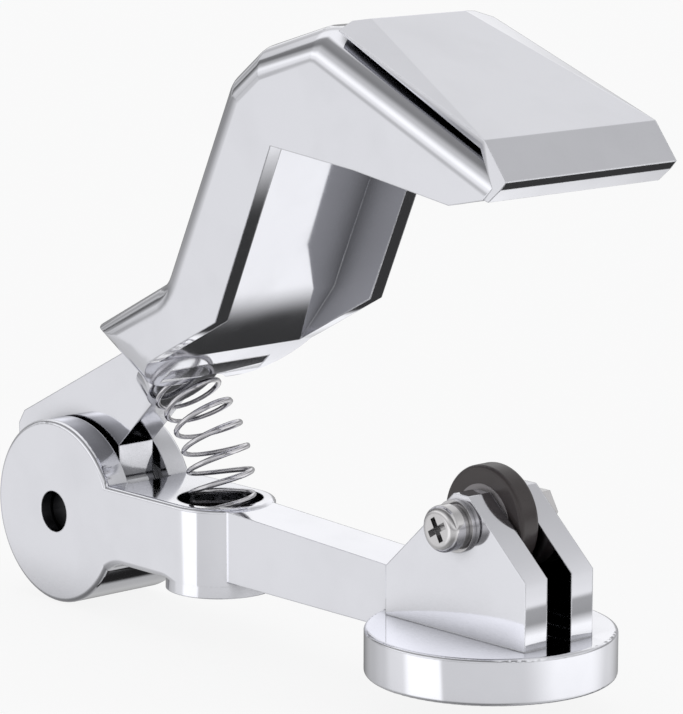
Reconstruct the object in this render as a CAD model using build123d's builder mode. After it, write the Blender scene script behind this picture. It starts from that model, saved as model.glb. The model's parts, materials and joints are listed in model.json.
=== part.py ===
from build123d import *
from math import cos, pi, radians, sin, tan
import os

# Sprung lever door holder: a fixed base arm with a round foot and a roller clevis at one end
# and a hinge barrel at the other, and a wide channel lever that a bent coil spring holds open.
# Millimetres. The origin is the centre of the foot's flat underside. +X runs from the hinge
# towards the lever's tip, Y runs along the hinge pin and +Z is up.

# ---- driving dimensions ----
hinge_x = -110.3
hinge_z = 11.1

foot_radius = 22.0
foot_height = 8.2

barrel_radius = 17.9
barrel_width = 20.8
pocket_width = 10.0
pocket_radius = 15.4
pocket_front = 17.3
stop_height = 9.75
block_top = 7.6
block_bottom = -7.2

cup_x = 37.7
cup_radius = 8.1
cup_floor = 2.6
boss_bottom = -9.4

arm_width = 11.6
arm_bottom = -6.2
arm_top_rear = 7.4
arm_top_front = 4.9

ear_gap = 5.8
ear_thickness = 5.2
ear_rear = -18.1
ear_front = 16.5
ear_rear_shoulder = 5.9
ear_front_shoulder = 9.1
ear_top = 21.7
ear_top_rear = -1.0
ear_top_front = 2.6
roller_height = 16.2

pin_radius = 4.0
pin_length = 15.6
pin_hole_radius = 4.02
bush_bore_radius = 4.06
bush_outer_radius = 5.4
shim_thickness = 0.85
shim_radius = 15.0

hub_width = 8.2
hub_radius = 14.8
hub_front = 12.6
stop_gap = 0.05

lever_width = 40.0
channel_width = 34.0
foot_rear = (23.2, 41.0)
foot_low = (33.6, 29.3)
heel = (43.6, 51.4)
crown_low = (62.0, 89.6)
crown_high = (70.0, 95.6)
back_round = 6.0
rear_round_top = 3.5
rear_round_low = 12.5
recess_half = 12.0
pad_slope = 24.0
pad_rear = 88.5
pad_plate = 1.75
pad_plinth = 1.0
pad_front_half = 20.0
pad_rear_half = 18.0
pad_flat_half = 10.3
facet_drop = 1.5
pad_plinth_half = 14.0
pad_corner = 91.2
pad_screw_radius = 1.5
pad_screw_reach = 2.2
pad_screw_grip = 4.9
pad_screw_head = 1.6

spring_centre = 38.4
spring_bow = 1.7
spring_radius = 5.9
wire_radius = 0.55
spring_turns = 6.75
spring_low_angle = 7.2
spring_high_angle = 44.6
seat_angle = 46.0
seat_distance = 39.4
seat_pocket_radius = 7.0

screw_radius = 2.0
screw_hole_radius = 2.05
head_radius = 4.1
head_height = 3.0
washer_radius = 4.6
washer_thickness = 0.8
lock_radius = 3.8
lock_thickness = 1.1
nut_flats = 7.0
nut_height = 3.2

tyre_radius = 9.6
tyre_width = 4.4
core_radius = 6.4
core_width = 4.6
sleeve_radius = 3.0
spacer_thickness = 0.5


def by_hinge(x, z):
    """A point of a side outline, measured from the hinge axis."""
    return (hinge_x + x, hinge_z + z)


def save(part, name):
    part.label = name
    export_step(part, "parts/" + name + ".step")


os.makedirs("parts", exist_ok=True)
half_barrel = barrel_width / 2
ear_out = ear_gap / 2 + ear_thickness

# ---- base casting ----
with BuildPart() as barrel:
    # hinge barrel with rounded rims
    with BuildSketch(Plane.XZ):
        with Locations(by_hinge(0, 0)):
            Circle(barrel_radius)
    extrude(amount=half_barrel, both=True)
    fillet(barrel.edges().filter_by(GeomType.CIRCLE), radius=1.0)

with BuildPart() as base:
    # straight block with a round front end, its underside curving down to the barrel
    with BuildSketch(Plane.XZ):
        with BuildLine():
            Polyline(
                by_hinge(13.5, -11.5),
                by_hinge(13.5, block_top),
                by_hinge(cup_x + half_barrel, block_top),
                by_hinge(cup_x + half_barrel, block_bottom),
                by_hinge(20.5, block_bottom),
            )
            ThreePointArc(
                by_hinge(20.5, block_bottom),
                by_hinge(16.7, block_bottom - 1.1),
                by_hinge(13.5, -11.5),
            )
        make_face()
    extrude(amount=half_barrel, both=True)
    front_corners = base.edges().filter_by(Axis.Z).group_by(Axis.X)[-1]
    fillet(front_corners, radius=half_barrel - 0.02)
    fillet(base.faces().sort_by(Axis.Z)[-1].edges().filter_by(Axis.Y, reverse=True), radius=0.9)
    # round boss under the spring cup
    with BuildSketch(Plane.XY.offset(hinge_z + block_bottom + 1)):
        with Locations((hinge_x + cup_x, 0)):
            Circle(half_barrel - 0.02)
    extrude(amount=boss_bottom - block_bottom - 1)
    fillet(base.faces().sort_by(Axis.Z)[1].edges().filter_by(GeomType.CIRCLE), radius=1.4)
    add(barrel.part)
    # narrow arm, its top falling slightly towards the foot
    with BuildSketch(Plane.XZ):
        with BuildLine():
            Polyline(
                by_hinge(cup_x + 4, arm_bottom),
                (ear_rear + 4, hinge_z + arm_bottom),
                (ear_rear + 4, hinge_z + arm_top_front),
                by_hinge(cup_x + 4, arm_top_rear),
                close=True,
            )
        make_face()
    extrude(amount=arm_width / 2, both=True)
    # round foot
    with BuildSketch(Plane.XY):
        Circle(foot_radius)
    extrude(amount=foot_height)
    foot_rims = base.edges().filter_by(GeomType.CIRCLE).filter_by(
        lambda edge: abs(edge.radius - foot_radius) < 0.01
    )
    fillet(foot_rims, radius=0.7)
    # two clevis ears with sloping shoulders
    with BuildSketch(Plane.XZ):
        with BuildLine():
            Polyline(
                (ear_rear, foot_height - 2),
                (ear_front, foot_height - 2),
                (ear_front, hinge_z + ear_front_shoulder),
                (ear_top_front, hinge_z + ear_top),
                (ear_top_rear, hinge_z + ear_top),
                (ear_rear, hinge_z + ear_rear_shoulder),
                close=True,
            )
        make_face()
    extrude(amount=ear_out, both=True)
    # the gap between the ears
    with BuildSketch(Plane.XY.offset(foot_height)):
        with Locations((-1, 0)):
            SlotOverall(2 * ear_front + 8, ear_gap)
    extrude(amount=40, mode=Mode.SUBTRACT)
    # screw hole through both ears
    with BuildSketch(Plane.XZ):
        with Locations((0, hinge_z + roller_height)):
            Circle(screw_hole_radius)
    extrude(amount=20, both=True, mode=Mode.SUBTRACT)
    # pocket between the barrel's two cheeks, closed below and behind by a thin shell
    with BuildSketch(Plane.XZ):
        with Locations(by_hinge(0, 0)):
            Circle(pocket_radius)
        with BuildLine():
            Polyline(
                by_hinge(0, -1),
                by_hinge(14.5, -1),
                by_hinge(pocket_front, 3),
                by_hinge(pocket_front, 30),
                by_hinge(-30, 30),
                by_hinge(-30, stop_height),
                by_hinge(0, stop_height),
                close=True,
            )
        make_face()
    extrude(amount=pocket_width / 2, both=True, mode=Mode.SUBTRACT)
    # hinge pin hole
    with BuildSketch(Plane.XZ):
        with Locations(by_hinge(0, 0)):
            Circle(pin_hole_radius)
    extrude(amount=20, both=True, mode=Mode.SUBTRACT)
    # spring cup
    with BuildSketch(Plane.XY.offset(hinge_z + cup_floor)):
        with Locations((hinge_x + cup_x, 0)):
            Circle(cup_radius)
    extrude(amount=20, mode=Mode.SUBTRACT)
save(base.part, "base_casting")

# ---- hinge pin and the two shims beside the lever's hub ----
with BuildPart() as pin:
    with BuildSketch(Plane.XZ):
        with Locations(by_hinge(0, 0)):
            Circle(pin_radius)
    extrude(amount=pin_length / 2, both=True)
    chamfer(pin.edges().filter_by(GeomType.CIRCLE), length=0.4)
save(pin.part, "hinge_pin")

for name, side in (("hinge_shim_near", 1), ("hinge_shim_far", -1)):
    with BuildPart() as shim:
        with BuildSketch(Plane.XZ.offset(side * pocket_width / 2)):
            with Locations(by_hinge(0, 0)):
                Circle(shim_radius)
                Circle(pin_hole_radius, mode=Mode.SUBTRACT)
        extrude(amount=-side * shim_thickness)
    save(shim.part, name)

# ---- lever casting ----
pad_drop = tan(radians(pad_slope))
pad_skin = pad_plate / cos(radians(pad_slope))
pad_depth = (pad_plate + pad_plinth) / cos(radians(pad_slope))


def pad_top(x):
    """Height of the pad's top plane above the hinge axis."""
    return 85.0 + (128.5 - x) * pad_drop


seat_x = seat_distance * cos(radians(seat_angle))
seat_z = seat_distance * sin(radians(seat_angle))
seat_plane = Plane(
    origin=(hinge_x + seat_x, 0, hinge_z + seat_z),
    x_dir=(0, 1, 0),
    z_dir=(sin(radians(seat_angle)), 0, -cos(radians(seat_angle))),
)


def nearest_edge(edges, point):
    """The edge whose middle is nearest to a side-outline point."""
    return edges.sort_by_distance(Vector(point[0], 0, point[1]))[0]


rear_run = (foot_low[0] - foot_rear[0], 0, foot_low[1] - foot_rear[1])


def on_rear(share):
    """A point on the foot's rear face, from its upper edge at 0 to its lower edge at 1."""
    return (
        hinge_x + foot_rear[0] + rear_run[0] * share,
        0,
        hinge_z + foot_rear[1] + rear_run[2] * share,
    )


def side_edges(piece):
    """Edges of both outer side faces along the foot's top, the back, the crown and the roof."""
    def wanted(edge):
        middle = edge @ 0.5
        x = middle.X - hinge_x
        z = middle.Z - hinge_z
        on_side = abs(abs(middle.Y) - lever_width / 2) < 0.01
        above_back = z > max(38.0 + (x - 30.0) * 0.53, 64.0 + (x - 54.0) * 2.1)
        above_roof = x >= 76.0 and z > 84.0 - (x - 108.0) * 0.44
        return on_side and x < 128.0 and (above_back or above_roof)

    return piece.edges().filter_by(wanted)


def by_pad(x, y, drop):
    """A point on the pad, measured along its top plane and square down from it."""
    slope = radians(pad_slope)
    return (
        hinge_x + x - drop * sin(slope),
        y,
        hinge_z + pad_top(x) - drop * cos(slope),
    )


def corner_plane(front, inner, outer):
    """The plane through three points, its normal pointing up."""
    edge_a = Vector(*inner) - Vector(*front)
    edge_b = Vector(*outer) - Vector(*front)
    normal = edge_a.cross(edge_b)
    if normal.Z < 0:
        normal = -normal
    return Plane(origin=front, x_dir=edge_a.normalized(), z_dir=normal.normalized())


pad_screw_planes = [
    Plane(
        origin=by_pad(x, 0, pad_plate + pad_plinth),
        x_dir=(0, 1, 0),
        z_dir=(sin(radians(pad_slope)), 0, cos(radians(pad_slope))),
    )
    for x in (97.0, 118.0)
]

with BuildPart() as lever:
    # side outline of the wide channel: foot, upright and the roof that carries the pad
    with BuildSketch(Plane.XZ):
        with BuildLine():
            Polyline(
                by_hinge(pad_rear, pad_top(pad_rear) - pad_depth),
                by_hinge(126.4, pad_top(126.4) - pad_depth),
                by_hinge(130.2, 77.3),
                by_hinge(128.2, 75.1),
                by_hinge(120.1, 73.4),
                by_hinge(97.0, 76.9),
                by_hinge(75.5, 79.0),
                by_hinge(60.4, 46.1),
                by_hinge(41.0, 36.0),
                by_hinge(*foot_low),
                by_hinge(*foot_rear),
                by_hinge(*heel),
                by_hinge(*crown_low),
                by_hinge(*crown_high),
                by_hinge(pad_rear - 3.0, 100.2),
                by_hinge(pad_rear, pad_top(pad_rear) - pad_depth),
            )
        make_face()
    extrude(amount=lever_width / 2, both=True)
    # soft corners across the back, then along both sides of the back and of the roof
    cross_edges = lever.edges().filter_by(Axis.Y)
    bends = (by_hinge(*heel), by_hinge(*crown_low), by_hinge(*crown_high))
    fillet([nearest_edge(cross_edges, bend) for bend in bends], radius=6)
    fillet(side_edges(lever), radius=back_round)
    # rear corners of the foot, rounder towards its underside
    half_lever = lever_width / 2
    for side in (1, -1):
        for share in (-0.2, 1.15):
            rounding = rear_round_top + (rear_round_low - rear_round_top) * share
            with BuildSketch(Plane(origin=on_rear(share), x_dir=(0, 1, 0), z_dir=rear_run)):
                with BuildLine():
                    Polyline(
                        (side * (half_lever - rounding), 0),
                        (side * (half_lever - rounding), -1),
                        (side * (half_lever + 1), -1),
                        (side * (half_lever + 1), rounding),
                        (side * half_lever, rounding),
                    )
                    RadiusArc(
                        (side * half_lever, rounding),
                        (side * (half_lever - rounding), 0),
                        side * rounding,
                    )
                make_face()
        loft(mode=Mode.SUBTRACT)
    # recess under the foot, where the spring's upper end sits
    with BuildSketch(Plane.XZ):
        with BuildLine():
            Polyline(
                by_hinge(38.0, 33.3),
                by_hinge(35.6, 35.9),
                by_hinge(32.5, 33.1),
                by_hinge(34.9, 30.5),
                close=True,
            )
        make_face()
    extrude(amount=recess_half, both=True, mode=Mode.SUBTRACT)
    # hub plate that fits between the cheeks, its tail resting on the barrel's shell
    with BuildSketch(Plane.XZ):
        with Locations(by_hinge(0, 0)):
            Circle(hub_radius)
        with BuildLine():
            Polyline(
                by_hinge(-10.5, stop_height + stop_gap),
                by_hinge(-19.1, stop_height + stop_gap),
                by_hinge(-19.1, 13.8),
                by_hinge(-17.3, 16.5),
                by_hinge(24.6, 37.7),
                by_hinge(38.0, 40.0),
                by_hinge(seat_x + 6, seat_z + 6 * tan(radians(90 - seat_angle))),
                by_hinge(hub_front, seat_z - (seat_x - hub_front) * tan(radians(90 - seat_angle))),
                by_hinge(hub_front, 7.0),
                close=True,
            )
        make_face()
    extrude(amount=hub_width / 2, both=True)
    # round boss behind the spring's upper end
    with BuildSketch(seat_plane):
        Circle(seat_pocket_radius + 0.8)
    extrude(amount=-4.5)
    # open hollow of the channel
    with BuildSketch(Plane.XZ):
        with BuildLine():
            Polyline(
                by_hinge(41.0, 36.0),
                by_hinge(50.6, 47.4),
                by_hinge(55.0, 57.0),
                by_hinge(66.6, 81.2),
                by_hinge(74.0, 88.0),
                by_hinge(85.0, 93.2),
                by_hinge(91.5, 93.2),
                by_hinge(120.5, 80.4),
                by_hinge(123.5, 77.0),
                by_hinge(123.5, 60.0),
                by_hinge(76.0, 55.0),
                by_hinge(60.0, 38.0),
                by_hinge(45.0, 33.0),
                close=True,
            )
        make_face()
    extrude(amount=channel_width / 2, both=True, mode=Mode.SUBTRACT)
    # pocket that keeps the spring's upper end in place
    with BuildSketch(seat_plane):
        Circle(seat_pocket_radius)
    extrude(amount=14, mode=Mode.SUBTRACT)
    # bush bore
    with BuildSketch(Plane.XZ):
        with Locations(by_hinge(0, 0)):
            Circle(bush_outer_radius)
    extrude(amount=20, both=True, mode=Mode.SUBTRACT)
    # screw holes through the roof
    for place in pad_screw_planes:
        with BuildSketch(place):
            Circle(pad_screw_radius)
        extrude(amount=-8, mode=Mode.SUBTRACT)
save(lever.part, "lever_casting")

with BuildPart() as bush:
    with BuildSketch(Plane.XZ):
        with Locations(by_hinge(0, 0)):
            Circle(bush_outer_radius)
            Circle(bush_bore_radius, mode=Mode.SUBTRACT)
    extrude(amount=hub_width / 2, both=True)
save(bush.part, "hub_bush")

# ---- pad over the roof and the tip ----
with BuildPart() as pad:
    # plate, front lip and the narrower plinth that lifts the plate off the roof
    with BuildSketch(Plane.XZ):
        with BuildLine():
            Polyline(
                by_hinge(pad_rear, pad_top(pad_rear) - pad_skin),
                by_hinge(pad_rear, pad_top(pad_rear)),
                by_hinge(128.5, pad_top(128.5)),
                by_hinge(133.5, 78.6),
                by_hinge(132.2, 77.2),
                by_hinge(129.4, 74.9),
                by_hinge(128.3, 75.2),
                by_hinge(130.25, 77.3),
                by_hinge(127.5, pad_top(127.5) - pad_skin),
                close=True,
            )
        make_face()
    extrude(amount=pad_front_half, both=True)
    with BuildSketch(Plane.XZ):
        with BuildLine():
            Polyline(
                by_hinge(pad_rear + 2.5, pad_top(pad_rear + 2.5) - pad_depth),
                by_hinge(pad_rear + 2.5, pad_top(pad_rear + 2.5) - pad_skin),
                by_hinge(128.0, pad_top(128.0) - pad_skin),
                by_hinge(130.25, 77.3),
                by_hinge(126.4, pad_top(126.4) - pad_depth),
                close=True,
            )
        make_face()
    extrude(amount=pad_plinth_half, both=True)
    # sides drawn in towards the rear
    for side in (1, -1):
        taper = Plane(
            origin=(hinge_x + 128.5, side * pad_front_half, 0),
            x_dir=(0, 0, 1),
            z_dir=(-(pad_front_half - pad_rear_half), side * (128.5 - pad_rear), 0),
        )
        split(bisect_by=taper, keep=Keep.BOTTOM)
with BuildPart() as pad_cut:
    add(pad.part)
    # sloping facets that grow from nothing at the front corners
    for side in (1, -1):
        facet = corner_plane(
            by_pad(128.5, side * pad_front_half, 0),
            by_pad(pad_rear, side * pad_flat_half, 0),
            by_pad(pad_corner, side * pad_rear_half, facet_drop),
        )
        split(bisect_by=facet, keep=Keep.BOTTOM)
        # rear edge swept forward towards the corners
        sweep_back = Plane(
            origin=(hinge_x + pad_rear, side * 7.0, 0),
            x_dir=(0, 0, 1),
            z_dir=(-(pad_rear_half - 7.0), side * (pad_corner - pad_rear), 0),
        )
        split(bisect_by=sweep_back, keep=Keep.BOTTOM)
    rear_facet = Plane(
        origin=by_pad(pad_rear + 3.0, 0, 0),
        x_dir=(0, 1, 0),
        z_dir=(-sin(radians(12)), 0, cos(radians(12))),
    )
    split(bisect_by=rear_facet, keep=Keep.BOTTOM)
    # blind screw holes in the underside
    for place in pad_screw_planes:
        with BuildSketch(place):
            Circle(pad_screw_radius)
        extrude(amount=pad_screw_reach, mode=Mode.SUBTRACT)
save(pad_cut.part, "pedal_pad")

with BuildPart() as pad_screws:
    for place in pad_screw_planes:
        with BuildSketch(place.offset(-pad_screw_grip - pad_screw_head)):
            Circle(2.8)
        extrude(amount=pad_screw_head)
        with BuildSketch(place.offset(-pad_screw_grip)):
            Circle(pad_screw_radius)
        extrude(amount=pad_screw_grip + pad_screw_reach)
save(pad_screws.part, "pad_screws")

# ---- compression spring, bent round the hinge ----
with BuildPart() as spring:
    coil_points = []
    steps = int(spring_turns * 16)
    for step in range(steps + 1):
        share = step / steps
        bend = radians(spring_low_angle + (spring_high_angle - spring_low_angle) * share)
        turn = 2 * pi * spring_turns * share
        centre = spring_centre + spring_bow * sin(pi * share)
        reach = centre + spring_radius * cos(turn)
        coil_points.append(
            (
                hinge_x + reach * cos(bend),
                spring_radius * sin(turn),
                hinge_z + reach * sin(bend),
            )
        )
    with BuildLine() as coil:
        Spline(*coil_points)
    with BuildSketch(Plane(origin=coil.line @ 0, z_dir=coil.line % 0)):
        Circle(wire_radius)
    sweep(path=coil.line, is_frenet=True)
save(spring.part, "compression_spring")

# ---- roller, its screw and the hardware on it ----
roller_axis = (0, hinge_z + roller_height)


def turned(name, outer, inner, y_low, y_high):
    """A ring or a disc about the roller's axis, between two positions along Y."""
    with BuildPart() as ring:
        with BuildSketch(Plane.XZ.offset(-y_low)):
            with Locations(roller_axis):
                Circle(outer)
                if inner > 0:
                    Circle(inner, mode=Mode.SUBTRACT)
        extrude(amount=y_low - y_high)
        save(ring.part, name)
    return ring.part


near_washer = -ear_out - washer_thickness
near_lock = near_washer - lock_thickness
far_washer = ear_out + washer_thickness
far_nut = far_washer + nut_height

turned("screw_washer_near", washer_radius, screw_hole_radius, near_washer, -ear_out)
turned("lock_washer", lock_radius, screw_hole_radius, near_lock, near_washer)
turned("screw_washer_far", washer_radius, screw_hole_radius, ear_out, far_washer)
turned("roller_sleeve", sleeve_radius, screw_hole_radius, -ear_gap / 2, ear_gap / 2)

with BuildPart() as tyre:
    with BuildSketch(Plane.XZ):
        with Locations(roller_axis):
            Circle(tyre_radius)
            Circle(core_radius, mode=Mode.SUBTRACT)
    extrude(amount=tyre_width / 2, both=True)
    rims = tyre.edges().filter_by(GeomType.CIRCLE).group_by(SortBy.RADIUS)[-1]
    fillet(rims, radius=0.8)
save(tyre.part, "roller_tyre")

with BuildPart() as core:
    with BuildSketch(Plane.XZ):
        with Locations(roller_axis):
            Circle(core_radius)
            Circle(sleeve_radius + 0.05, mode=Mode.SUBTRACT)
    extrude(amount=core_width / 2, both=True)
save(core.part, "roller_core")

with BuildPart() as spacers:
    for side in (1, -1):
        with BuildSketch(Plane.XZ.offset(side * ear_gap / 2)):
            with Locations(roller_axis):
                Circle(4.6)
                Circle(sleeve_radius + 0.01, mode=Mode.SUBTRACT)
        extrude(amount=-side * spacer_thickness)
save(spacers.part, "roller_spacers")

with BuildPart() as screw:
    with BuildSketch(Plane.XZ.offset(-near_lock)):
        with Locations(roller_axis):
            Circle(screw_radius)
    extrude(amount=near_lock - far_nut - 1.2)
    with BuildSketch(Plane.XZ.offset(-near_lock)):
        with Locations(roller_axis):
            Circle(head_radius)
    extrude(amount=head_height)
    head_rim = screw.edges().filter_by(GeomType.CIRCLE).sort_by(Axis.Y)[0]
    fillet(head_rim, radius=1.4)
    # cross recess in the head
    with BuildSketch(Plane.XZ.offset(-near_lock + head_height - 1.5)):
        with Locations(roller_axis):
            Rectangle(4.4, 1.1, rotation=30)
            Rectangle(1.1, 4.4, rotation=30)
    extrude(amount=5, mode=Mode.SUBTRACT)
save(screw.part, "roller_screw")

with BuildPart() as nut:
    with BuildSketch(Plane.XZ.offset(-far_washer)):
        with Locations(roller_axis):
            RegularPolygon(radius=nut_flats / 2, side_count=6, major_radius=False)
            Circle(screw_radius + 0.01, mode=Mode.SUBTRACT)
    extrude(amount=-nut_height)
save(nut.part, "locknut")
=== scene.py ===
import json
import math

import bmesh
import bpy
from bpy.props import FloatProperty, FloatVectorProperty, IntProperty, PointerProperty
from mathutils import Matrix, Vector


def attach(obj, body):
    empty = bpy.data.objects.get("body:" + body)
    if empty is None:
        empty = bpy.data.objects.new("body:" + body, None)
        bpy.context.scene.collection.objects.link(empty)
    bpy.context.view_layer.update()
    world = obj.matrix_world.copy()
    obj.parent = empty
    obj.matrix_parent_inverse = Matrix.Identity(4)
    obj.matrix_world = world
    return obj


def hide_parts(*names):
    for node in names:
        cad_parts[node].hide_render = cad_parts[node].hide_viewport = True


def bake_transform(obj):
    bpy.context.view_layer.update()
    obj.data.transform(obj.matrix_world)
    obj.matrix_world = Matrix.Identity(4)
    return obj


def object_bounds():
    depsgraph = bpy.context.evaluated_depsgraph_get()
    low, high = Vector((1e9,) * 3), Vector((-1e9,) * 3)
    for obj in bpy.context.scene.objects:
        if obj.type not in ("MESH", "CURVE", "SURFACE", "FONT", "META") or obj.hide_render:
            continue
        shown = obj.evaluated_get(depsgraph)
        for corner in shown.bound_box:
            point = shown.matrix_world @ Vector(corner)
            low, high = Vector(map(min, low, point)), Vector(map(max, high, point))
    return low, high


bl_info = {
    "name": "Sprung Door Holder",
    "version": (1, 0, 0),
    "blender": (4, 5, 0),
    "location": "View3D > Sidebar > Holder",
    "description": "Finishes, spring, roller and studio for a sprung lever door holder",
    "category": "Object",
}

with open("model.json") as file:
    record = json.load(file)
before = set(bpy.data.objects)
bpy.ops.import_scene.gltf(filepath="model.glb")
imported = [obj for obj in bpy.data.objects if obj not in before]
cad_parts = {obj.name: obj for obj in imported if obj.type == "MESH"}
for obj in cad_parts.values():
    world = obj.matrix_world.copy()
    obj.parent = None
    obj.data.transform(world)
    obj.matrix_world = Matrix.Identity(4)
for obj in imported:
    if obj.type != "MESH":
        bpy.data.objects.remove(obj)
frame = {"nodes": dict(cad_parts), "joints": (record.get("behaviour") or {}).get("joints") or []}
CAD_BOX = [list(corner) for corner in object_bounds()]
HINGE = Vector(next(j["pos_m"] for j in frame["joints"] if j["name"] == "lever_hinge"))
MM = 0.001
MERGE_DISTANCE = 0.01 * MM
FLAT_ANGLE = math.radians(0.2)
FLOOR_HALF_SIZE = 4.0
FLOOR_GAP = 0.2 * MM
SPRING_STEPS = 28  # wire rings in one turn
CLOSED_TURNS = 0.5  # closed turns at each end of the spring
CLOSED_PITCH = 2.1  # rise of a closed turn, in wire radii
CAMERA_PLACE = (0.43597, -0.42518, 0.16960)
CAMERA_FACING = (-0.7321, 0.6558, -0.1843)
CAMERA_SENSOR = 36.0

# studio tones over the top, from the far horizon (0) through the zenith (0.5) to the near one (1)
ARCH_TONES = (
    (0.0, 0.4),
    (0.085, 0.45),
    (0.11, 1.05),
    (0.16, 1.0),
    (0.22, 0.78),
    (0.32, 0.7),
    (0.42, 1.0),
    (0.54, 1.0),
    (0.61, 0.3),
    (0.7, 0.24),
    (0.79, 0.6),
    (0.88, 1.15),
    (0.94, 0.9),
    (1.0, 0.5),
)
# studio tones from behind the hinge (0) to beyond the tip (1)
SIDE_TONES = ((0.0, 0.5), (0.12, 1.0), (0.36, 1.0), (0.6, 0.68), (0.78, 0.8), (1.0, 0.95))
# tones of the lower surroundings round the compass, just below the horizon and further down
LOW_TONES = (
    (0.0, 0.5),
    (0.06, 0.62),
    (0.1, 0.8),
    (0.135, 0.84),
    (0.16, 1.2),
    (0.247, 1.2),
    (0.258, 0.68),
    (0.45, 0.72),
    (0.56, 1.1),
    (0.66, 1.1),
    (0.74, 0.75),
    (0.85, 0.35),
    (0.9, 0.22),
    (1.0, 0.5),
)
STEEP_TONES = (
    (0.0, 0.6),
    (0.2, 0.35),
    (0.32, 0.28),
    (0.42, 0.3),
    (0.5, 0.6),
    (0.62, 0.95),
    (0.71, 1.0),
    (0.74, 0.04),
    (0.79, 0.04),
    (0.815, 1.05),
    (1.0, 0.6),
)


# ---------------------------------------------------------------- settings


class HolderFinish(bpy.types.PropertyGroup):
    """Colours and roughness of the plated and plain surfaces."""

    chrome_tint: FloatVectorProperty(
        name="Chrome tint",
        description="Colour of the bright plating",
        subtype="COLOR",
        size=3,
        min=0.0,
        max=1.0,
        default=(0.87, 0.875, 0.925),
    )
    chrome_roughness: FloatProperty(
        name="Chrome roughness",
        description="Roughness of the bright plating",
        default=0.07,
        min=0.0,
        max=1.0,
    )
    edge_softness: FloatProperty(
        name="Edge softness",
        description="Radius of the soft line that polishing leaves on an edge",
        default=0.00035,
        unit="LENGTH",
    )
    # Painted shade: deep inside hollows the plating's colour is darkened to this share of the tint,
    # standing in for the shade there.
    painted_shade_tone: FloatProperty(
        name="Painted shade tone",
        description="Brightness of the plating deep inside a hollow, where it is thin",
        default=0.3,
        min=0.0,
        max=1.0,
        subtype="FACTOR",
    )
    tread_colour: FloatVectorProperty(
        name="Tread colour",
        description="Colour of the roller's rubber tread",
        subtype="COLOR",
        size=3,
        min=0.0,
        max=1.0,
        default=(0.06, 0.05, 0.05),
    )
    centre_colour: FloatVectorProperty(
        name="Roller centre colour",
        description="Colour of the roller's moulded centre",
        subtype="COLOR",
        size=3,
        min=0.0,
        max=1.0,
        default=(0.36, 0.34, 0.35),
    )


class HolderSpring(bpy.types.PropertyGroup):
    """Sizes of the coil spring that is bent round the hinge."""

    centre_radius: FloatProperty(
        name="Centre line radius",
        description="Distance from the hinge axis to the spring's centre line",
        default=0.0384,
        unit="LENGTH",
    )
    bow: FloatProperty(
        name="Bow",
        description="How far the middle of the spring bows away from the hinge",
        default=0.0017,
        unit="LENGTH",
    )
    coil_radius: FloatProperty(
        name="Coil radius",
        description="Radius of the coil to the middle of the wire",
        default=0.0059,
        unit="LENGTH",
    )
    wire_radius: FloatProperty(
        name="Wire radius",
        description="Radius of the spring wire",
        default=0.0005,
        unit="LENGTH",
    )
    low_angle: FloatProperty(
        name="Lower end",
        description="Angle of the lower seat about the hinge",
        default=math.radians(5.6),
        subtype="ANGLE",
    )
    high_angle: FloatProperty(
        name="Upper end",
        description="Angle of the upper seat about the hinge",
        default=math.radians(45.2),
        subtype="ANGLE",
    )
    open_turns: FloatProperty(
        name="Open turns",
        description="Turns between the two closed ends",
        default=6.0,
        min=1.0,
    )
    wire_sides: IntProperty(
        name="Wire sides",
        description="Faces round the wire",
        default=12,
        min=6,
    )


class HolderStage(bpy.types.PropertyGroup):
    """Floor, light and camera."""

    floor_colour: FloatVectorProperty(
        name="Floor colour",
        description="Colour of the plain floor",
        subtype="COLOR",
        size=3,
        min=0.0,
        max=1.0,
        default=(0.93, 0.93, 0.94),
    )
    lens: FloatProperty(
        name="Lens",
        description="Focal length of the camera in millimetres",
        default=191.5,
    )
    studio_strength: FloatProperty(
        name="Studio strength",
        description="Strength of the soft studio surroundings",
        default=1.0,
        min=0.0,
    )
    floor_shade: FloatProperty(
        name="Floor shade",
        description="Share of the real soft shadow that shows on the white sweep",
        default=0.12,
        min=0.0,
        max=1.0,
        subtype="FACTOR",
    )


# ---------------------------------------------------------------- node helpers


def add_node(tree, kind, at, **inputs):
    """A node of that kind, with named inputs set to plain values."""
    node = tree.nodes.new(kind)
    node.location = at
    for name, value in inputs.items():
        node.inputs[name.replace("_", " ")].default_value = value
    return node


def new_group(name, inputs, outputs):
    """An empty shader node group with its sockets, and its two end nodes."""
    group = bpy.data.node_groups.new(name, "ShaderNodeTree")
    for label, kind, value in inputs:
        socket = group.interface.new_socket(name=label, in_out="INPUT", socket_type=kind)
        if value is not None:
            socket.default_value = value
    for label, kind in outputs:
        group.interface.new_socket(name=label, in_out="OUTPUT", socket_type=kind)
    entry = group.nodes.new("NodeGroupInput")
    entry.location = (-900, 0)
    leave = group.nodes.new("NodeGroupOutput")
    leave.location = (700, 0)
    return group, entry, leave


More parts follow.
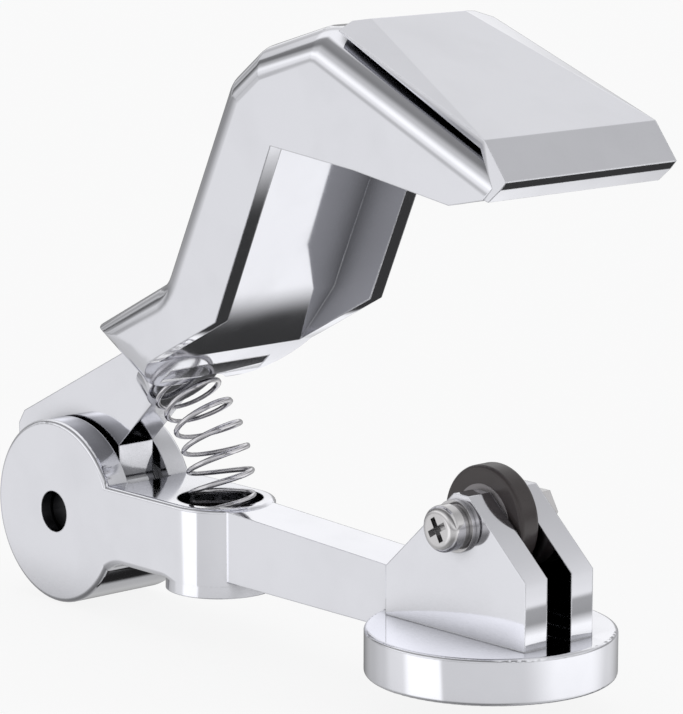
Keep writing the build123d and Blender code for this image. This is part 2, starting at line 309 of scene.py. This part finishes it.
def plated_surface_group():
    """Soft edges, slow waves of a polished casting and a fine grain, as one normal, with a random
    smudge mask and a painted shade mask for hollows.
    """
    found = bpy.data.node_groups.get("Plated Surface")
    if found:
        return found
    group, entry, leave = new_group(
        "Plated Surface",
        [
            ("Edge Radius", "NodeSocketFloat", 0.0004),
            ("Wave Scale", "NodeSocketFloat", 45.0),
            ("Wave Depth", "NodeSocketFloat", 0.00004),
            ("Grain Scale", "NodeSocketFloat", 1400.0),
            ("Grain Depth", "NodeSocketFloat", 0.000001),
            ("Painted Shade Reach", "NodeSocketFloat", 0.02),
        ],
        [
            ("Normal", "NodeSocketVector"),
            ("Smudge", "NodeSocketFloat"),
            ("Painted Shade", "NodeSocketFloat"),
        ],
    )
    place = add_node(group, "ShaderNodeTexCoord", (-900, -300))
    soft = group.nodes.new("ShaderNodeBevel")
    soft.samples = 6
    soft.location = (-500, 200)
    group.links.new(entry.outputs["Edge Radius"], soft.inputs["Radius"])
    wave = add_node(group, "ShaderNodeTexNoise", (-600, -100), Detail=1.0, Roughness=0.4)
    grain = add_node(group, "ShaderNodeTexNoise", (-600, -400), Detail=2.0)
    smudge = add_node(group, "ShaderNodeTexNoise", (-600, -700), Scale=70.0, Detail=5.0)
    for noise, scale in ((wave, "Wave Scale"), (grain, "Grain Scale")):
        group.links.new(entry.outputs[scale], noise.inputs["Scale"])
    for noise in (wave, grain, smudge):
        group.links.new(place.outputs["Object"], noise.inputs["Vector"])
    low = add_node(group, "ShaderNodeBump", (-200, 100), Strength=1.0)
    high = add_node(group, "ShaderNodeBump", (100, 100), Strength=1.0)
    group.links.new(entry.outputs["Wave Depth"], low.inputs["Distance"])
    group.links.new(entry.outputs["Grain Depth"], high.inputs["Distance"])
    group.links.new(wave.outputs["Fac"], low.inputs["Height"])
    group.links.new(soft.outputs["Normal"], low.inputs["Normal"])
    group.links.new(grain.outputs["Fac"], high.inputs["Height"])
    group.links.new(low.outputs["Normal"], high.inputs["Normal"])
    group.links.new(high.outputs["Normal"], leave.inputs["Normal"])
    spread = add_node(group, "ShaderNodeMapRange", (-200, -500), From_Min=0.45, From_Max=0.8)
    group.links.new(smudge.outputs["Fac"], spread.inputs["Value"])
    group.links.new(spread.outputs["Result"], leave.inputs["Smudge"])
    # Painted shade: ambient occlusion turned into a mask that darkens the colour in hollows.
    hollow = group.nodes.new("ShaderNodeAmbientOcclusion")
    hollow.samples = 8
    hollow.location = (-500, -1000)
    group.links.new(entry.outputs["Painted Shade Reach"], hollow.inputs["Distance"])
    deep = add_node(
        group, "ShaderNodeMapRange", (-200, -1000), From_Min=0.25, From_Max=0.8, To_Min=1.0, To_Max=0.0
    )
    deep.interpolation_type = "SMOOTHSTEP"
    group.links.new(hollow.outputs["AO"], deep.inputs["Value"])
    group.links.new(deep.outputs["Result"], leave.inputs["Painted Shade"])
    return group


def new_material(name):
    """A material with an empty tree, its Principled shader and its output."""
    material = bpy.data.materials.new(name)
    material.use_nodes = True
    tree = material.node_tree
    tree.nodes.clear()
    out = tree.nodes.new("ShaderNodeOutputMaterial")
    out.location = (600, 0)
    shader = tree.nodes.new("ShaderNodeBsdfPrincipled")
    shader.location = (300, 0)
    tree.links.new(shader.outputs["BSDF"], out.inputs["Surface"])
    return material, tree, shader


def metal(
    name, tint, roughness, smudged, edge, wave_depth, grain_depth, wave_scale=45.0, painted_shade_tone=0.5
):
    """A bright or plain metal with painted shade darkening its colour in recesses, finished by the
    shared group.
    """
    material, tree, shader = new_material(name)
    shader.inputs["Metallic"].default_value = 1.0
    surface = tree.nodes.new("ShaderNodeGroup")
    surface.node_tree = plated_surface_group()
    surface.location = (-300, 0)
    surface.inputs["Edge Radius"].default_value = edge
    surface.inputs["Wave Scale"].default_value = wave_scale
    surface.inputs["Wave Depth"].default_value = wave_depth
    surface.inputs["Grain Depth"].default_value = grain_depth
    rough = add_node(tree, "ShaderNodeMapRange", (0, -100), To_Min=roughness, To_Max=smudged)
    tree.links.new(surface.outputs["Smudge"], rough.inputs["Value"])
    tree.links.new(rough.outputs["Result"], shader.inputs["Roughness"])
    tree.links.new(surface.outputs["Normal"], shader.inputs["Normal"])
    colour = tree.nodes.new("ShaderNodeMix")
    colour.data_type = "RGBA"
    colour.location = (0, 200)
    colour.inputs["A"].default_value = (*tint, 1.0)
    colour.inputs["B"].default_value = (*[c * 0.94 for c in tint], 1.0)
    tree.links.new(surface.outputs["Smudge"], colour.inputs["Factor"])
    # Painted shade: the colour is darkened towards the painted shade tone where the occlusion mask
    # finds a hollow.
    shaded = tree.nodes.new("ShaderNodeMix")
    shaded.data_type = "RGBA"
    shaded.location = (150, 300)
    shaded.inputs["B"].default_value = (*[c * painted_shade_tone for c in tint], 1.0)
    tree.links.new(surface.outputs["Painted Shade"], shaded.inputs["Factor"])
    tree.links.new(colour.outputs["Result"], shaded.inputs["A"])
    tree.links.new(shaded.outputs["Result"], shader.inputs["Base Color"])
    return material


def chrome_plate():
    """Bright plating of the castings and the pad."""
    finish = bpy.context.scene.holder_finish
    found = bpy.data.materials.get("Chrome Plate")
    return found or metal(
        "Chrome Plate",
        finish.chrome_tint,
        finish.chrome_roughness,
        finish.chrome_roughness + 0.05,
        finish.edge_softness,
        0.00003,
        0.0000004,
        painted_shade_tone=finish.painted_shade_tone,
    )


def small_metal(name, tint, roughness, smudged, edge, grain_depth, wave_scale, wave_depth=0.000004):
    """One of the small parts' metals, built once."""
    found = bpy.data.materials.get(name)
    return found or metal(
        name, tint, roughness, smudged, edge, wave_depth, grain_depth, wave_scale
    )


def plain_steel():
    """Unplated bright steel."""
    return small_metal("Plain Steel", (0.58, 0.58, 0.6), 0.22, 0.34, 0.00012, 0.000002, 200.0)


def plated_screw():
    """Nickel plate on the screw, its washers and its nut."""
    return small_metal("Plated Screw", (0.7, 0.69, 0.7), 0.14, 0.26, 0.00015, 0.000001, 200.0)


def spring_wire():
    """Drawn spring steel."""
    return small_metal(
        "Spring Wire", (0.72, 0.71, 0.74), 0.12, 0.22, 0.00005, 0.000001, 300.0, 0.000002
    )


def dark_pin():
    """Blackened steel, set back in the barrel."""
    return small_metal("Dark Pin", (0.03, 0.03, 0.032), 0.35, 0.5, 0.0001, 0.000002, 200.0)


def bush_metal():
    """Bronze of the hub's bush."""
    return small_metal("Bush Metal", (0.62, 0.44, 0.2), 0.25, 0.4, 0.0001, 0.000002, 200.0)


def moulded(name, colour, roughness, speckle):
    """Rubber or plastic with a little colour change and a fine skin."""
    found = bpy.data.materials.get(name)
    if found:
        return found
    material, tree, shader = new_material(name)
    place = add_node(tree, "ShaderNodeTexCoord", (-900, 0))
    cloud = add_node(tree, "ShaderNodeTexNoise", (-650, 100), Scale=160.0, Detail=4.0)
    skin = add_node(tree, "ShaderNodeTexNoise", (-650, -200), Scale=2200.0, Detail=2.0)
    for noise in (cloud, skin):
        tree.links.new(place.outputs["Object"], noise.inputs["Vector"])
    blend = tree.nodes.new("ShaderNodeMix")
    blend.data_type = "RGBA"
    blend.location = (-300, 150)
    blend.inputs["A"].default_value = (*[c * (1 - speckle) for c in colour], 1.0)
    blend.inputs["B"].default_value = (*[min(1, c * (1 + speckle)) for c in colour], 1.0)
    tree.links.new(cloud.outputs["Fac"], blend.inputs["Factor"])
    tree.links.new(blend.outputs["Result"], shader.inputs["Base Color"])
    rough = add_node(
        tree, "ShaderNodeMapRange", (-300, -100), To_Min=roughness - 0.08, To_Max=roughness + 0.08
    )
    tree.links.new(cloud.outputs["Fac"], rough.inputs["Value"])
    tree.links.new(rough.outputs["Result"], shader.inputs["Roughness"])
    bump = add_node(tree, "ShaderNodeBump", (0, -250), Strength=0.4, Distance=0.00003)
    tree.links.new(skin.outputs["Fac"], bump.inputs["Height"])
    tree.links.new(bump.outputs["Normal"], shader.inputs["Normal"])
    return material


def dress(node, material):
    """Gives a CAD node's slots that material."""
    mesh = frame["nodes"][node].data
    if not mesh.materials:
        mesh.materials.append(material)
    for index in range(len(mesh.materials)):
        mesh.materials[index] = material


def ramp(tree, at, stops):
    """A grey ramp through those (position, value) stops."""
    node = tree.nodes.new("ShaderNodeValToRGB")
    node.location = at
    node.color_ramp.interpolation = "EASE"
    elements = node.color_ramp.elements
    while len(elements) > 1:
        elements.remove(elements[0])
    elements[0].position = stops[0][0]
    elements[0].color = (stops[0][1], stops[0][1], stops[0][1], 1.0)
    for position, value in stops[1:]:
        element = elements.new(position)
        element.color = (value, value, value, 1.0)
    return node


def studio_floor(sizes):
    """A matt white sweep, plain white to the eye with a trace of the soft shadow on it."""
    material, tree, shader = new_material("Studio Floor")
    shader.inputs["Base Color"].default_value = (*sizes.floor_colour, 1.0)
    shader.inputs["Roughness"].default_value = 0.9
    out = next(node for node in tree.nodes if node.type == "OUTPUT_MATERIAL")
    white = add_node(tree, "ShaderNodeEmission", (0, -300), Strength=1.0)
    white.inputs["Color"].default_value = (1.0, 1.0, 1.0, 1.0)
    path = add_node(tree, "ShaderNodeLightPath", (0, 400))
    seen = add_node(tree, "ShaderNodeMath", (200, 300))
    seen.operation = "MULTIPLY"
    seen.inputs[1].default_value = 1.0 - sizes.floor_shade
    tree.links.new(path.outputs["Is Camera Ray"], seen.inputs[0])
    mix = add_node(tree, "ShaderNodeMixShader", (500, 200))
    out.location = (700, 0)
    tree.links.new(seen.outputs["Value"], mix.inputs["Fac"])
    tree.links.new(shader.outputs["BSDF"], mix.inputs[1])
    tree.links.new(white.outputs["Emission"], mix.inputs[2])
    tree.links.new(mix.outputs["Shader"], out.inputs["Surface"])
    return material


def mixed(tree, first, second, factor, how="MIX"):
    """The two colours mixed by a number or by a socket."""
    node = tree.nodes.new("ShaderNodeMix")
    node.data_type = "RGBA"
    node.blend_type = how
    tree.links.new(first, node.inputs["A"])
    tree.links.new(second, node.inputs["B"])
    if isinstance(factor, float):
        node.inputs["Factor"].default_value = factor
    else:
        tree.links.new(factor, node.inputs["Factor"])
    return node.outputs["Result"]


def turned_share(tree, axes, rise, run, start, full):
    """The direction's angle from one axis towards another, as a share of a whole turn."""
    turn = add_node(tree, "ShaderNodeMath", (-700, 100))
    turn.operation = "ARCTAN2"
    tree.links.new(axes.outputs[rise], turn.inputs[0])
    tree.links.new(axes.outputs[run], turn.inputs[1])
    moved = add_node(tree, "ShaderNodeMath", (-600, 100))
    moved.operation = "ADD"
    moved.inputs[1].default_value = start
    tree.links.new(turn.outputs["Value"], moved.inputs[0])
    share = add_node(tree, "ShaderNodeMath", (-500, 100))
    share.operation = "DIVIDE"
    share.inputs[1].default_value = full
    tree.links.new(moved.outputs["Value"], share.inputs[0])
    return share.outputs["Value"]


def studio_world(sizes):
    """Soft white surroundings with the grey fall-offs that bright plating needs."""
    world = bpy.data.worlds.new("Studio")
    world.use_nodes = True
    tree = world.node_tree
    tree.nodes.clear()
    place = add_node(tree, "ShaderNodeTexCoord", (-1100, 0))
    axes = add_node(tree, "ShaderNodeSeparateXYZ", (-900, 0))
    tree.links.new(place.outputs["Generated"], axes.inputs["Vector"])
    over = ramp(tree, (-300, 100), ARCH_TONES)
    tree.links.new(turned_share(tree, axes, "Z", "Y", 0.0, math.pi), over.inputs["Fac"])
    side = add_node(tree, "ShaderNodeMapRange", (-500, -200), From_Min=-1.0, From_Max=1.0)
    tree.links.new(axes.outputs["X"], side.inputs["Value"])
    along = ramp(tree, (-300, -200), SIDE_TONES)
    tree.links.new(side.outputs["Result"], along.inputs["Fac"])
    upper = mixed(tree, over.outputs["Color"], along.outputs["Color"], 1.0, "MULTIPLY")
    compass = turned_share(tree, axes, "Y", "X", math.pi, math.tau)
    low = ramp(tree, (-300, -500), LOW_TONES)
    steep = ramp(tree, (-300, -800), STEEP_TONES)
    for tones in (low, steep):
        tree.links.new(compass, tones.inputs["Fac"])
    depth = add_node(tree, "ShaderNodeMapRange", (-300, -1100), From_Min=-0.3, From_Max=-0.62)
    tree.links.new(axes.outputs["Z"], depth.inputs["Value"])
    lower = mixed(tree, low.outputs["Color"], steep.outputs["Color"], depth.outputs["Result"])
    height = add_node(tree, "ShaderNodeMapRange", (-300, 400), From_Min=-0.1, From_Max=0.03)
    tree.links.new(axes.outputs["Z"], height.inputs["Value"])
    whole = mixed(tree, lower, upper, height.outputs["Result"])
    around = add_node(tree, "ShaderNodeBackground", (200, 0), Strength=sizes.studio_strength)
    tree.links.new(whole, around.inputs["Color"])
    plain = add_node(tree, "ShaderNodeBackground", (200, -200), Strength=1.0)
    plain.inputs["Color"].default_value = (1.0, 1.0, 1.0, 1.0)
    path = add_node(tree, "ShaderNodeLightPath", (200, 300))
    mix = add_node(tree, "ShaderNodeMixShader", (450, 0))
    tree.links.new(path.outputs["Is Camera Ray"], mix.inputs["Fac"])
    tree.links.new(around.outputs["Background"], mix.inputs[1])
    tree.links.new(plain.outputs["Background"], mix.inputs[2])
    out = add_node(tree, "ShaderNodeOutputWorld", (650, 0))
    tree.links.new(mix.outputs["Shader"], out.inputs["Surface"])
    return world


# ---------------------------------------------------------------- mesh helpers


def new_piece(name, bm, material, body=None, angle=35.0):
    """A finished piece from a bmesh, at the origin, smooth below that angle in degrees."""
    bmesh.ops.recalc_face_normals(bm, faces=bm.faces)
    mesh = bpy.data.meshes.new(name)
    bm.to_mesh(mesh)
    bm.free()
    for polygon in mesh.polygons:
        polygon.use_smooth = True
    mesh.set_sharp_from_angle(angle=math.radians(angle))
    mesh.materials.append(material)
    piece = bpy.data.objects.new(name, mesh)
    bpy.context.scene.collection.objects.link(piece)
    if body:
        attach(piece, body)
    return piece


def smooth_copy(node, body, material, angle=30.0):
    """A merged, smooth-shaded copy of a CAD node in its place, with crisp corners kept."""
    bm = bmesh.new()
    bm.from_mesh(frame["nodes"][node].data)
    bmesh.ops.remove_doubles(bm, verts=bm.verts, dist=MERGE_DISTANCE)
    bmesh.ops.dissolve_limit(
        bm,
        angle_limit=FLAT_ANGLE,
        verts=bm.verts,
        edges=bm.edges,
        delimit={"NORMAL"},
    )
    piece = new_piece(node + "_finish", bm, material, body, angle)
    evened = piece.modifiers.new("Even Shading", "WEIGHTED_NORMAL")
    evened.weight = 100
    evened.keep_sharp = True
    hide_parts(node)
    return piece


# ---------------------------------------------------------------- operators


class HOLDER_OT_castings(bpy.types.Operator):
    """Plate the base casting, the lever casting and the pad."""

    bl_idname = "holder.castings"
    bl_label = "Castings"

    def execute(self, context):
        smooth_copy("base_casting", "base", chrome_plate())
        for node in ("lever_casting", "pedal_pad"):
            smooth_copy(node, "lever", chrome_plate())
        return {"FINISHED"}


class HOLDER_OT_hinge(bpy.types.Operator):
    """Finish the hinge pin, its shims and the hub's bush."""

    bl_idname = "holder.hinge"
    bl_label = "Hinge"

    def execute(self, context):
        dress("hinge_pin", dark_pin())
        dress("hinge_shim_near", plain_steel())
        dress("hinge_shim_far", plain_steel())
        dress("hub_bush", bush_metal())
        dress("pad_screws", plated_screw())
        return {"FINISHED"}


class HOLDER_OT_spring(bpy.types.Operator):
    """Wind the coil spring and bend it round the hinge."""

    bl_idname = "holder.spring"
    bl_label = "Spring"

    def execute(self, context):
        sizes = context.scene.holder_spring
        arc = sizes.high_angle - sizes.low_angle
        height = arc * sizes.centre_radius - 2 * sizes.wire_radius
        closed_rise = CLOSED_PITCH * sizes.wire_radius * CLOSED_TURNS
        open_rise = height - 2 * closed_rise
        bm = bmesh.new()
        ring = bmesh.ops.create_circle(
            bm, cap_ends=True, radius=sizes.wire_radius, segments=sizes.wire_sides
        )
        stand = Matrix.Translation((sizes.coil_radius, 0, 0)) @ Matrix.Rotation(
            math.radians(90), 4, "X"
        )
        bmesh.ops.transform(bm, matrix=stand, verts=ring["verts"])
        front = list(bm.faces) + list(bm.edges) + list(bm.verts)
        for turns, rise in (
            (CLOSED_TURNS, closed_rise),
            (sizes.open_turns, open_rise),
            (CLOSED_TURNS, closed_rise),
        ):
            count = round(turns * SPRING_STEPS)
            made = bmesh.ops.spin(
                bm,
                geom=front,
                cent=(0, 0, 0),
                axis=(0, 0, 1),
                dvec=(0, 0, rise / count),
                angle=math.tau * turns,
                steps=count,
                use_duplicate=False,
            )
            front = made["geom_last"]
        for vert in bm.verts:
            share = (vert.co.z + sizes.wire_radius) / (height + 2 * sizes.wire_radius)
            bend = sizes.low_angle + arc * share
            bow = sizes.bow * math.sin(math.pi * min(1.0, max(0.0, share)))
            reach = sizes.centre_radius + bow + vert.co.x
            vert.co = Vector(
                (
                    HINGE.x + reach * math.cos(bend),
                    vert.co.y,
                    HINGE.z + reach * math.sin(bend),
                )
            )
        piece = new_piece("coil_spring", bm, spring_wire())
        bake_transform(piece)
        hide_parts("compression_spring")
        return {"FINISHED"}


class HOLDER_OT_roller(bpy.types.Operator):
    """Give the roller's tread and centre their moulded finishes."""

    bl_idname = "holder.roller"
    bl_label = "Roller"

    def execute(self, context):
        finish = context.scene.holder_finish
        dress("roller_tyre", moulded("Roller Tread", finish.tread_colour, 0.3, 0.25))
        dress("roller_core", moulded("Roller Centre", finish.centre_colour, 0.4, 0.1))
        return {"FINISHED"}


class HOLDER_OT_screw(bpy.types.Operator):
    """Finish the clevis screw, its washers, its nut and the parts inside the roller."""

    bl_idname = "holder.screw"
    bl_label = "Screw"

    def execute(self, context):
        washers = ("screw_washer_near", "screw_washer_far", "lock_washer")
        for node in ("roller_screw", *washers, "locknut"):
            dress(node, plated_screw())
        for node in ("roller_spacers", "roller_sleeve"):
            dress(node, plain_steel())
        return {"FINISHED"}


class HOLDER_OT_stage(bpy.types.Operator):
    """Set the floor, the studio light and the camera."""

    bl_idname = "holder.stage"
    bl_label = "Stage"

    def execute(self, context):
        scene = context.scene
        sizes = scene.holder_stage
        bm = bmesh.new()
        bmesh.ops.create_grid(bm, x_segments=1, y_segments=1, size=FLOOR_HALF_SIZE)
        bmesh.ops.translate(bm, vec=(0, 0, CAD_BOX[0][2] - FLOOR_GAP), verts=bm.verts)
        floor = new_piece("studio_floor", bm, studio_floor(sizes))
        floor.visible_glossy = False
        scene.world = studio_world(sizes)

        camera_data = bpy.data.cameras.new("Studio Camera")
        camera_data.sensor_fit = "HORIZONTAL"
        camera_data.sensor_width = CAMERA_SENSOR
        camera_data.lens = sizes.lens
        camera_data.clip_start = 0.01
        camera = bpy.data.objects.new("Studio Camera", camera_data)
        camera.location = CAMERA_PLACE
        camera.rotation_euler = Vector(CAMERA_FACING).to_track_quat("-Z", "Y").to_euler()
        scene.collection.objects.link(camera)
        scene.camera = camera
        scene.view_settings.view_transform = "Standard"
        return {"FINISHED"}


class HOLDER_PT_panel(bpy.types.Panel):
    """Lists the pieces and the stage in the sidebar."""

    bl_idname = "HOLDER_PT_panel"
    bl_label = "Door Holder"
    bl_space_type = "VIEW_3D"
    bl_region_type = "UI"
    bl_category = "Holder"

    def draw(self, context):
        layout = self.layout
        scene = context.scene
        for group in (scene.holder_finish, scene.holder_spring, scene.holder_stage):
            column = layout.column(align=True)
            for label in group.bl_rna.properties.keys():
                if label not in ("rna_type", "name"):
                    column.prop(group, label)
        column = layout.column(align=True)
        for operator in OPERATORS:
            column.operator(operator.bl_idname)


SETTINGS = (HolderFinish, HolderSpring, HolderStage)
OPERATORS = (
    HOLDER_OT_castings,
    HOLDER_OT_hinge,
    HOLDER_OT_spring,
    HOLDER_OT_roller,
    HOLDER_OT_screw,
    HOLDER_OT_stage,
)


def register():
    """Registers the classes and hangs the settings on the scene."""
    for cls in (*SETTINGS, *OPERATORS, HOLDER_PT_panel):
        bpy.utils.register_class(cls)
    bpy.types.Scene.holder_finish = PointerProperty(type=HolderFinish)
    bpy.types.Scene.holder_spring = PointerProperty(type=HolderSpring)
    bpy.types.Scene.holder_stage = PointerProperty(type=HolderStage)


def unregister():
    """Takes the settings and the classes away again."""
    del bpy.types.Scene.holder_stage
    del bpy.types.Scene.holder_spring
    del bpy.types.Scene.holder_finish
    for cls in reversed((*SETTINGS, *OPERATORS, HOLDER_PT_panel)):
        bpy.utils.unregister_class(cls)


def main():
    """Builds every piece and the stage."""
    register()
    bpy.ops.holder.castings()
    bpy.ops.holder.hinge()
    bpy.ops.holder.spring()
    bpy.ops.holder.roller()
    bpy.ops.holder.screw()
    bpy.ops.holder.stage()


if __name__ == "__main__":
    main()
